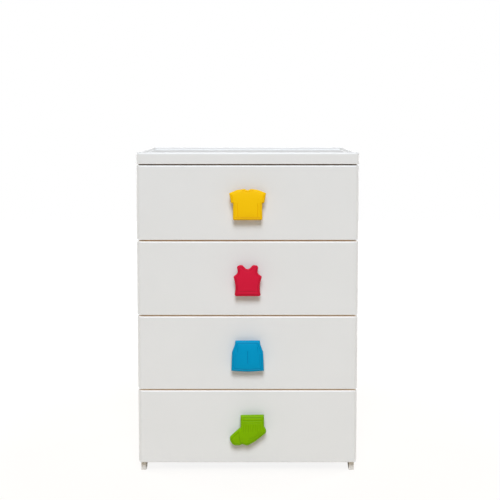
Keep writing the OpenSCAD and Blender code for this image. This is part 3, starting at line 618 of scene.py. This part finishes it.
# ------------------------------------------------------------------ top panel
def top_shell(low, high):
    """The top panel in one skin: a profile of (inset, height, corner radius) carried round its
    plan. From the middle of the underside it runs out below the tray, up into the hollow rim, down
    the skirt, round its lower edge, up the outside, over the rounded rim, down into the tray and
    back to the middle."""
    under, top = low[2], high[2]
    floor = top - TRAY_DEPTH
    below = floor - WALL
    roof = top - WALL
    tray_in = RIM_W - WALL
    mouth = RIM_W - TRAY_MOUTH_R
    tray_r, outer_r = TRAY_CORNER_R, TOP_CORNER_R
    # Below the tray and up into the rim
    rows = [(30, below, tray_r), (tray_in + 2.5, below, tray_r)]
    rows += [(tray_in + 0.7, below + 0.7, tray_r), (tray_in, below + 2.5, tray_r)]
    rows += [(tray_in, roof - 0.5, tray_r), (tray_in - 0.5, roof, tray_r)]
    # Down inside the skirt, round its lower edge and up outside
    rows += [(WALL + 1.5, roof, 6), (WALL + 1, roof - 0.5, 6), (WALL + 1, below, 6)]
    rows += [(WALL, below - 1, 5.6), (WALL, under + 0.5, 5.6), (WALL - 0.4, under, 6)]
    rows += [(0.4, under, 7.6), (0, under + 0.4, outer_r), (0, top - RIM_EDGE_R, outer_r)]
    # Over the rim, whose outer and inner edges are quarter rounds
    for a in np.radians(np.linspace(10, 90, 9)):
        in_by = RIM_EDGE_R * (1 - math.cos(a))
        rows.append((in_by, top - RIM_EDGE_R * (1 - math.sin(a)), outer_r - in_by))
    rows += [(RIM_EDGE_R + 0.6, top, 3.4), (mouth - 0.4, top, 7.8)]
    rows += [(mouth + TRAY_MOUTH_R * math.sin(a), top - TRAY_MOUTH_R * (1 - math.cos(a)), 8.2)
             for a in np.radians(np.linspace(0, 90, 6))]
    # Down into the tray and round the fillet onto its floor
    rows += [(RIM_W, floor + TRAY_FILLET_R + 0.5, 7.6)]
    rows += [(RIM_W + TRAY_FILLET_R * (1 - math.cos(a)), floor + TRAY_FILLET_R * (1 - math.sin(a)),
              tray_r) for a in np.radians(np.linspace(0, 90, 8))]
    rows += [(RIM_W + TRAY_FILLET_R + 1, floor, tray_r), (40, floor, tray_r)]
    rings = []
    for step, height, radius in rows:
        plan = rectangle((low[0] + step, low[1] + step), (high[0] - step, high[1] - step), radius)
        rings.append(place(outline(plan, PANEL_ARC, TOP_RUNS), height, "Z"))
    middle = (low + high)[:2] / 2
    return skin(rings, (*middle, below), (*middle, floor))


def top_ribs(low, high, socket_x, rear_y):
    """Crossed ribs under the tray, and one along each side that holds the side panel against the
    skirt."""
    z1 = high[2] - TRAY_DEPTH - WALL + SINK
    z0 = z1 - TOP_RIB_H
    y0, y1 = low[1] + WALL - SINK, rear_y
    shapes = [bar((x - RIB_T / 2, y0, z0), (x + RIB_T / 2, y1, z1))
              for x in spaced(-socket_x, socket_x, 5)]
    shapes += [bar((-socket_x - SINK, y - RIB_T / 2, z0), (socket_x + SINK, y + RIB_T / 2, z1))
               for y in spaced(low[1], rear_y, 3)]
    shapes += [bar((x, y0, z0), (x + RIB_T, y1, z1)) for x in (-socket_x - RIB_T, socket_x)]
    return shapes


# ------------------------------------------------------------------ pulls
# Each garment: its outline about the pull's centre, the middle that its rings shrink towards, the
# seams that follow its edge (distance, two corners of a window, share of the depth) and the
# straight ones (two ends, share of the depth)
ALL_ROUND = ((-60, -60), (60, 60))


def pair(start, end, share):
    """A straight seam on the right half, and its mirror image on the left."""
    return [(start, end, share), ((-start[0], start[1]), (-end[0], end[1]), share)]


GARMENTS = {
    "shirt": (
        symmetric([(36.6, -38.3, 3.5), (36.2, 3.2, 1.5), (41.3, 5.2, 1.5), (45.8, 28.4, 2),
                   (26.5, 36.6, 36), (8.2, 39, 3), (0, 35.6, 4.5)]),
        (0, 8),
        [(5, (29, -30), (60, 2), 0.6), (5, (-60, -30), (-29, 2), 0.6),
         (5, (32, 9), (60, 25), 0.8), (5, (-60, 9), (-32, 25), 0.8), (4.2, (-15, 24), (15, 40), 1)],
        pair((25.5, 3), (24.5, -31), 0.8) + [((-32, -31.4), (32, -31.4), 1)],
    ),
    "vest": (
        symmetric([(33, -38.8, 4.5), (29.2, -14, 60), (35.4, 11, 3), (24.2, 19, 9),
                   (27.2, 37.2, 6), (14, 40.2, 7), (0, 26, 8)]),
        (0, 0),
        [(4.5, *ALL_ROUND, 1)],
        [((-24, -26), (24, -26), 0.8)],
    ),
    "skirt": (
        symmetric([(0, -41, 200), (41.1, -38.4, 2), (39, 9.5, 12), (31.8, 29.5, 6),
                   (30.9, 38.9, 1.5)]),
        (0, 0),
        [(5.7, (-26, 25), (26, 60), 1), (6.8, (-34, -60), (34, -25), 1),
         (5, (20, -28), (60, 30), 0.8), (5, (-60, -28), (-20, 30), 0.8),
         (10, (20, -28), (60, 6), 0.5), (10, (-60, -28), (-20, 6), 0.5)],
        [((0, 13), (0, -17), 0.9)] + pair((24, 23), (25.5, 11), 0.8),
    ),
    "sock": (
        [(-37.5, -40.4, 15), (-20.5, -40.4, 6), (-13.5, -36.8, 3), (-1, -41.6, 9), (20, -29.4, 60),
         (49.4, -4.8, 10), (41.6, 9.6, 2), (41.4, 39, 1.5), (-17.8, 38, 1.5), (-18, 7.2, 3),
         (-47.8, -20.2, 12)],
        (0, -10),
        [(5, (-60, -60), (60, -3), 1), (4.5, (30, -2), (60, 32), 0.7),
         (9.5, (0, -60), (60, -2), 0.5)],
        [((-12, 32.6), (37, 33), 1), ((-12, 25), (37, 25.4), 1), ((-12, 19), (37, 19.2), 0.5),
         ((-23, -2), (-19, -32), 0.8), ((27, -3), (22, -15), 0.6), ((22, -15), (3, -22), 0.6)]
        + [((x, 15), (x - 1, -3), 0.5) for x in range(-10, 38, 6)],
    ),
}


def line_distance(points, start, end):
    """Distance of each point from each straight segment between start and end."""
    way = end - start
    along = np.clip(((points - start) * way).sum(-1) / (way * way).sum(-1), 0, 1)
    return np.linalg.norm(points - start - along[..., None] * way, axis=-1)


def edge_distance(ring, edge):
    """Distance of each point of a ring from a closed line of many short segments: the least of all
    of them."""
    return line_distance(ring[:, None], edge, np.roll(edge, -1, axis=0)).min(-1)


def smooth(share):
    """A share from 0 to 1 that starts and ends level: three times its square less twice its
    cube."""
    share = np.clip(share, 0, 1)
    return share * share * (3 - 2 * share)


def face_height(distance, level):
    """Height of a pull's face above the plate's rear plane: a quarter-round edge, then a low crown,
    less the bow, which grows with the square of the distance from mid-height."""
    in_edge = np.clip(distance / PLATE_EDGE_R, 0, 1)
    in_crown = np.clip(distance / CROWN_REACH, 0, 1)
    bow = PLATE_BOW * np.minimum(1, np.abs(level) / (PULL_H / 2)) ** 2
    return (PLATE_T - PLATE_CROWN - PLATE_EDGE_R * (1 - np.sqrt(1 - (1 - in_edge) ** 2))
            + PLATE_CROWN * (1 - (1 - in_crown) ** 2) - bow)


def seam_valley(distance):
    """Share of a seam's depth: a round-bottomed valley that fades out at half its width."""
    return 1 - smooth(distance / (SEAM_W / 2))


def window_share(points, low, high):
    """1 inside a window and 0 outside, with a soft border 1.5 mm wide."""
    margin = np.minimum(points - np.array(low), np.array(high) - points).min(-1)
    return smooth(margin / 1.5 + 0.5)


def pull_face(points, distance, edge_seams, straight_seams):
    """Height of a garment's face at each point, the crowned face less its seams, and the share of
    seam there. Seams fade in between 1.5 and 4 mm from the edge."""
    depth = np.zeros(points.shape[:-1])
    for away, low, high, share in edge_seams:
        valley = share * seam_valley(np.abs(distance - away))
        depth = np.maximum(depth, valley * window_share(points, low, high))
    for start, end, share in straight_seams:
        valley = share * seam_valley(line_distance(points, np.array(start), np.array(end)))
        depth = np.maximum(depth, valley)
    depth = depth * smooth((distance - 1.5) / 2.5)
    return face_height(distance, points[..., 1]) - SEAM_DEPTH * depth, depth


def garment_plate(corners, middle, edge_seams, straight_seams, centre_z, plate_y):
    """The plate in one skin, with its share of seam. Its rings are the outline drawn in towards the
    middle, with the face's height worked out from each point's distance to the edge. Behind it lie
    the side, the rear lip and the recess."""
    corners = np.asarray(corners, float)
    middle = np.asarray(middle, float)
    points, _, _, half = corner_ways(corners)
    arc_length = corners[:, 2] * (np.pi - 2 * half)
    tangent = corners[:, 2] / np.tan(half)
    side_length = np.linalg.norm(np.roll(points, -1, axis=0) - points, axis=-1)
    gap = side_length - tangent - np.roll(tangent, -1)
    arcs = np.maximum(5, np.ceil(arc_length / PLATE_STEP)).astype(int)
    runs = np.maximum(1, np.ceil(gap / PLATE_STEP)).astype(int)
    edge = outline(corners, arcs, runs)
    # 25 rings in the outer fifth, closest together at the edge, and 70 up to the middle
    steps = np.concatenate([np.linspace(0, 1, 26)[:-1] ** 1.6 * 0.2, np.linspace(0.2, 0.985, 70)])
    flat = middle + (1 - steps)[:, None, None] * (edge - middle)
    distance = np.stack([edge_distance(ring, edge) for ring in flat])
    distance[0] = 0
    heights, seams = pull_face(flat, distance, edge_seams, straight_seams)
    rings = [place(ring, plate_y - height, "Y") for ring, height in zip(flat[::-1], heights[::-1])]
    # The back, as (inset, height above the rear plane): the side's end, the lip and the recess
    rows = [(0, 1.2), (0, 0.4), (0.12, 0.12), (0.4, 0), (WALL - 0.4, 0), (WALL, 0.4),
            (WALL, PLATE_RECESS - 0.8), (WALL + 0.8, PLATE_RECESS)]
    rings += [place(outline(inset(corners, step), arcs, runs), plate_y - height, "Y")
              for step, height in rows]
    tip, tip_seam = pull_face(middle[None], edge_distance(middle[None], edge),
                              edge_seams, straight_seams)
    shell, quads, triangles = skin(rings, (middle[0], plate_y - tip[0], middle[1]),
                                   (middle[0], plate_y - PLATE_RECESS, middle[1]))
    share = np.concatenate([seams[::-1].ravel(), np.zeros(len(rows) * len(edge)), tip_seam, [0]])
    return (shell + [0, 0, centre_z], quads, triangles), share


def pull_neck(centre_z, plate_y, front_y):
    """The hollow neck between the plate and the drawer front, which flares into the plate, with
    the two screw bosses inside it."""
    half_w = SCREW_SPACING / 2 + NECK_MARGIN
    root = plate_y - (PLATE_RECESS + 0.4)
    corners = rectangle((-half_w, centre_z - NECK_HALF_H), (half_w, centre_z + NECK_HALF_H),
                        NECK_CORNER_R)
    rows = [(-1.6, root), (-1.5, root + 0.6), (-0.6, root + 1.1), (0, root + 2.2)]
    rows += [(0, front_y - EASE), (EASE, front_y), (NECK_WALL - EASE, front_y)]
    rows += [(NECK_WALL, front_y - EASE), (NECK_WALL, root + 1.5)]
    rings = [place(outline(inset(corners, step), PANEL_ARC, (4, 1, 4, 1)), level, "Y")
             for step, level in rows]
    shapes = [skin(rings, rings[0].mean(0), rings[-1].mean(0))]
    return shapes + [tube((x, centre_z), root + 0.5, front_y, BOSS_R, NECK_BORE_R) for x in SCREW_X]


# ------------------------------------------------------------------ build the pieces
def build_case():
    """The top panel, made again with finer curves, and eased copies of the panels and frames."""
    low, high = box_mm("top_panel")
    socket_x = box_mm("side_panel_right")[0][0] - CLEARANCE - RIB_T
    rear_y = box_mm("back_panel")[0][1] - CLEARANCE
    # The box round all that lies under the panel, whose faces take painted brown shade and a faint
    # painted glow, and the box round the tray's floor, which is painted grey shade
    inside_low = low + [TOP_CORNER_R, WALL / 2, -1]
    inside_high = high - [TOP_CORNER_R, WALL / 2, TRAY_DEPTH + WALL / 2]
    # The tray's floor takes a grey that is painted shade
    tray_low = low + [RIM_W + 2, RIM_W + 2, 20]
    tray_high = high - [RIM_W + 2, RIM_W + 2, TRAY_DEPTH - 0.3]
    piece("top_panel_moulding", [top_shell(low, high)] + top_ribs(low, high, socket_x, rear_y),
          "top_panel", "case", white_abs,
          [(shaded_abs, inside_low, inside_high), (grained_shaded_abs, tray_low, tray_high)])
    for node in ("side_panel_left", "side_panel_right", "back_panel", "base_frame"):
        eased(node, "case", ivory_pp, CARCASS_BEVEL)
    # The frames' cream is painted shade for the gaps, with a painted glow
    for node in ("divider_frame_1", "divider_frame_2", "divider_frame_3"):
        eased(node, "case", painted_shade_cream_pp, CARCASS_BEVEL)


def build_drawer(k, garment):
    """A drawer's front, box, pull and screws, each placed by the CAD nodes' boxes."""
    body = f"drawer_{k}"
    low, high = box_mm(f"drawer_{k}_front")
    box_low, box_high = box_mm(f"drawer_{k}_box")
    back_y = low[1] + FRONT_T
    pull_z = (low[2] + high[2]) / 2 - PULL_DROP
    runner_z, rim_z = box_low[2], box_high[2]
    floor_z = runner_z + SKID_H
    lean = (rim_z - floor_z) * math.tan(math.radians(BOX_DRAFT))
    rear_y = box_high[1] - FLANGE_W - lean

    shapes = [front_shell(low, high, back_y)]
    shapes += front_details(low, high, back_y, pull_z, floor_z, rim_z)
    # The faces that look down, behind the rounded edge, take painted amber shade and a painted
    # glow. The bottom front has no gap below it
    underside = (painted_gap_light_abs, low + [FRONT_CORNER_R, 1.8, -1],
                 [high[0] - FRONT_CORNER_R, back_y + 1, low[2] + 0.6])
    piece(f"drawer_{k}_front_moulding", shapes, f"drawer_{k}_front", body, white_abs,
          [underside] if k < DRAWERS[-1] else [])

    shapes = [box_shell(floor_z, rim_z, back_y, rear_y)]
    shapes += box_details(floor_z, runner_z, back_y, rear_y)
    piece(f"drawer_{k}_box_moulding", shapes, f"drawer_{k}_box", body, natural_pp)

    plate_y = low[1] - PULL_REACH + PLATE_T
    plate, seam_share = garment_plate(*GARMENTS[garment], pull_z, plate_y)
    pull = piece(f"{garment}_pull_moulding", [plate] + pull_neck(pull_z, plate_y, low[1]),
                 f"{garment}_pull", body, PULL_PLASTIC[garment])
    # The share of seam depth at each point, which darkens the seams as painted shade
    tone = np.zeros(len(pull.data.vertices), np.float32)
    tone[:len(seam_share)] = seam_share
    pull.data.attributes.new("seam", "FLOAT", "POINT").data.foreach_set("value", tone)
    eased(f"drawer_{k}_pull_screws", body, zinc, SCREW_BEVEL)


# ------------------------------------------------------------------ floor, light and camera
FLOOR_REACH = 6.0        # metres from the middle to the floor's edge
SHADOW_REACH = 0.6       # metres within which the floor shows the most of its shadow
WHITE_FROM = 1.8         # metres beyond which it is plain white
NEAR_WHITE = 0.8         # share of plain white in the floor near the object
FLOOR_COLOUR = "#D6C9B6"
WARM_LIGHT = "#FFE8CE"   # the faint even light that fills the shadows, and its strength
WARM_STRENGTH = 0.11
WHITE = (1, 1, 1, 1)
AIM_HEIGHT = 0.4         # metres, the height that the lamps look at
LAMPS = (  # name, azimuth and elevation in degrees, distance and size in metres, strength, colour
    ("front_key", 0, 43, 30.0, 13.0, 8.2, "#E9F2FF"),
    ("top_light", 0, 76, 8.0, 4.0, 1.1, "#F8FBFF"),
    ("front_fill", 0, 18, 12.0, 5.0, 0.45, "#FFFFFF"),
    ("rear_left_fill", -118, 12, 6.0, 2.4, 5.2, "#F2F6FF"),
    ("rear_right_fill", 118, 12, 6.0, 2.4, 5.2, "#F2F6FF"),
    ("rear_top_light", 180, 32, 6.0, 3.0, 1.6, "#FFFFFF"),
)


def seen_rays(tree):
    """1 for the rays that show a surface to the camera, also by way of a gloss or through glass,
    and 0 for the rays that carry its light to other things."""
    path = add(tree, "ShaderNodeLightPath")
    seen = add(tree, "ShaderNodeMath", {
        0: path.outputs["Is Camera Ray"], 1: path.outputs["Is Glossy Ray"]}, operation="MAXIMUM")
    return add(tree, "ShaderNodeMath", {
        0: seen.outputs[0], 1: path.outputs["Is Transmission Ray"]}, operation="MAXIMUM").outputs[0]


def pale_floor():
    """A pale warm matt floor that keeps the object's soft shadow. It shows part of its colour as
    plain white near the object, and all of it further off."""
    material, tree = new_material("pale_studio_floor")
    where = add(tree, "ShaderNodeTexCoord").outputs["Object"]
    away = add(tree, "ShaderNodeVectorMath", {0: where}, operation="LENGTH")
    share = add(tree, "ShaderNodeMapRange", {
        "Value": away.outputs["Value"], "From Min": SHADOW_REACH, "From Max": WHITE_FROM,
        "To Min": NEAR_WHITE, "To Max": 1.0})
    share = add(tree, "ShaderNodeMath", {0: seen_rays(tree), 1: share.outputs["Result"]},
                operation="MULTIPLY")
    matt = add(tree, "ShaderNodeBsdfDiffuse", {"Color": srgb(FLOOR_COLOUR)})
    white = add(tree, "ShaderNodeEmission", {"Color": WHITE, "Strength": 1.1})
    mixed = add(tree, "ShaderNodeMixShader", {
        0: share.outputs[0], 1: matt.outputs[0], 2: white.outputs[0]})
    add(tree, "ShaderNodeOutputMaterial", {"Surface": mixed.outputs[0]})
    return material


def softbox(name, azimuth, elevation, distance, size, strength, colour):
    """A round lamp that looks at the chest. strength is the light that reaches it there, so the
    lamp's power grows with the square of the distance."""
    lamp = bpy.data.lights.new(name, "AREA")
    lamp.color = srgb(colour)[:3]
    lamp.shape = "DISK"
    lamp.size = size
    lamp.energy = strength * distance ** 2
    azimuth, elevation = math.radians(azimuth), math.radians(elevation)
    box = bpy.data.objects.new(name, lamp)
    box.location = (
        distance * math.cos(elevation) * math.sin(azimuth),
        -distance * math.cos(elevation) * math.cos(azimuth),
        AIM_HEIGHT + distance * math.sin(elevation),
    )
    box.rotation_euler = (math.pi / 2 - elevation, 0, azimuth)
    box.visible_camera = False
    bpy.context.scene.collection.objects.link(box)


def studio():
    """A pale floor, even surroundings that look white and light the object faintly, a large soft
    key lamp high in front, and five weaker lamps: one above, one in front, one behind each side
    for the sides and the back, and one high behind."""
    mesh = bpy.data.meshes.new("studio_floor")
    r = FLOOR_REACH
    mesh.from_pydata([(-r, -r, 0), (r, -r, 0), (r, r, 0), (-r, r, 0)], [], [(0, 1, 2, 3)])
    floor = bpy.data.objects.new("studio_floor", mesh)
    bpy.context.scene.collection.objects.link(floor)
    mesh.materials.append(pale_floor())

    world = bpy.data.worlds.new("white_surroundings")
    bpy.context.scene.world = world
    world.use_nodes = True
    tree = world.node_tree
    tree.nodes.clear()
    soft = add(tree, "ShaderNodeBackground", {
        "Color": srgb(WARM_LIGHT), "Strength": WARM_STRENGTH})
    white = add(tree, "ShaderNodeBackground", {"Color": WHITE, "Strength": 1.0})
    mixed = add(tree, "ShaderNodeMixShader", {
        0: seen_rays(tree), 1: soft.outputs[0], 2: white.outputs[0]})
    add(tree, "ShaderNodeOutputWorld", {"Surface": mixed.outputs[0]})
    for lamp in LAMPS:
        softbox(*lamp)


def camera():
    """A camera straight in front, a little above the top, tilted slightly down."""
    distance, height = 2.6885, 0.9049  # metres from the middle, and above the floor
    tilt = 0.0928                      # radians
    data = bpy.data.cameras.new("front_camera")
    eye = bpy.data.objects.new("front_camera", data)
    data.sensor_width = 36
    data.lens = 72.78
    data.shift_x = 0.0048
    data.shift_y = -0.08
    eye.location = (0, -distance, height)
    eye.rotation_euler = (math.pi / 2 - tilt, 0, 0)
    bpy.context.scene.collection.objects.link(eye)
    bpy.context.scene.camera = eye


build_case()
for number, garment_name in zip(DRAWERS, PULLS):
    build_drawer(number, garment_name)
studio()
camera()
bpy.context.scene.view_settings.view_transform = "Standard"
